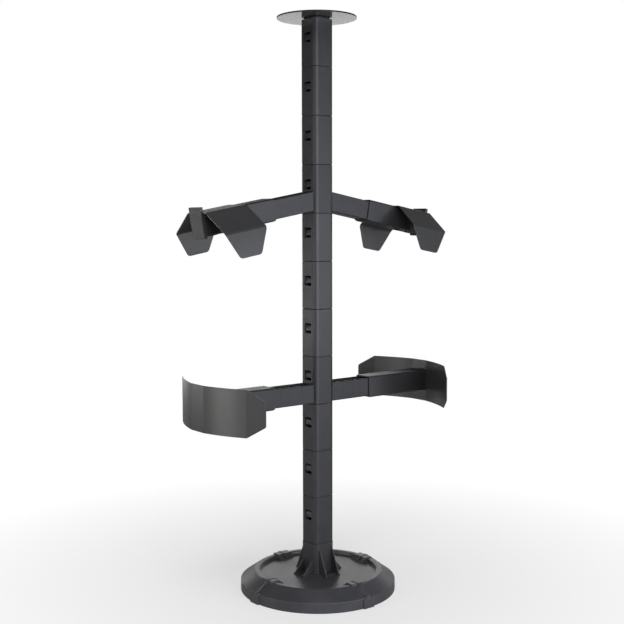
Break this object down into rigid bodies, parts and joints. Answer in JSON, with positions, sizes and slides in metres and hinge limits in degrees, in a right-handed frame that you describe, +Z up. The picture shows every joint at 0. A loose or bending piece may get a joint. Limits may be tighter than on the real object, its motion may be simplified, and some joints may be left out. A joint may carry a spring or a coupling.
{
  "type": "free-standing gear and clothing rack",
  "caption": "Free-standing rack: round weighted base, square post of snapped segments, head disc, and telescoping shoulder and belt arms on both sides.",
  "frame": {"origin": "on the floor under the post, at the centre of the round base", "axes": "+Z up; X runs along all four arms, so the arms called right point along +X; Y is across the arms"},
  "size_m": [0.6052, 0.3376, 1.2048],
  "materials": {
    "post_moulding": "satin black moulded plastic with a fine spark texture",
    "arm_moulding": "satin black moulded plastic with a fine spark texture",
    "base_moulding": "matte black moulded plastic, lightly textured",
    "cap_moulding": "smooth dark grey moulded plastic",
    "sheet_enamel": "dark grey satin powder coat on bent steel sheet",
    "disc_enamel": "smooth dark enamel with a glossy underside",
    "foot_rubber": "matte",
    "ballast_steel": "plain rolled steel",
    "screw_zinc": "black zinc plated steel"
  },
  "bodies": {
    "stand": {"base_shell": "base_moulding", "base_cover": "base_moulding", "ballast_plate": "ballast_steel", "rubber_feet": "foot_rubber", "cover_screws": "screw_zinc", "post_socket": "post_moulding", "socket_screws": "screw_zinc", "post_segment_1": "post_moulding", "post_segment_2": "post_moulding", "post_segment_3": "post_moulding", "post_segment_4": "post_moulding", "post_segment_5": "post_moulding", "post_segment_6": "post_moulding", "post_segment_7": "post_moulding", "post_segment_8": "post_moulding", "belt_hub": "arm_moulding", "shoulder_hub": "arm_moulding", "post_cap": "post_moulding", "top_disc": "disc_enamel", "disc_screws": "screw_zinc"},
    "belt_arm_left": {"belt_sleeve_left": "arm_moulding", "belt_bracket_left": "sheet_enamel", "belt_plate_left": "sheet_enamel", "bracket_screws_left": "screw_zinc"},
    "shoulder_arm_left": {"shoulder_sleeve_left": "arm_moulding", "shoulder_saddle_left": "sheet_enamel", "saddle_screws_left": "screw_zinc", "end_cap_left": "cap_moulding", "end_cap_screws_left": "screw_zinc"},
    "belt_arm_right": {"belt_sleeve_right": "arm_moulding", "belt_bracket_right": "sheet_enamel", "belt_plate_right": "sheet_enamel", "bracket_screws_right": "screw_zinc"},
    "shoulder_arm_right": {"shoulder_sleeve_right": "arm_moulding", "shoulder_saddle_right": "sheet_enamel", "saddle_screws_right": "screw_zinc", "end_cap_right": "cap_moulding", "end_cap_screws_right": "screw_zinc"}
  },
  "joints": [
    {"name": "belt_left_slide", "type": "slide", "parent": "stand", "child": "belt_arm_left", "axis": [-1, 0, 0], "range_m": [-0.0825, 0]},
    {"name": "belt_right_slide", "type": "slide", "parent": "stand", "child": "belt_arm_right", "axis": [1, 0, 0], "range_m": [-0.0825, 0]},
    {"name": "shoulder_left_slide", "type": "slide", "parent": "stand", "child": "shoulder_arm_left", "axis": [-0.9845, 0, -0.1754], "range_m": [-0.0825, 0]},
    {"name": "shoulder_right_slide", "type": "slide", "parent": "stand", "child": "shoulder_arm_right", "axis": [0.9845, 0, -0.1754], "range_m": [-0.0825, 0]}
  ]
}
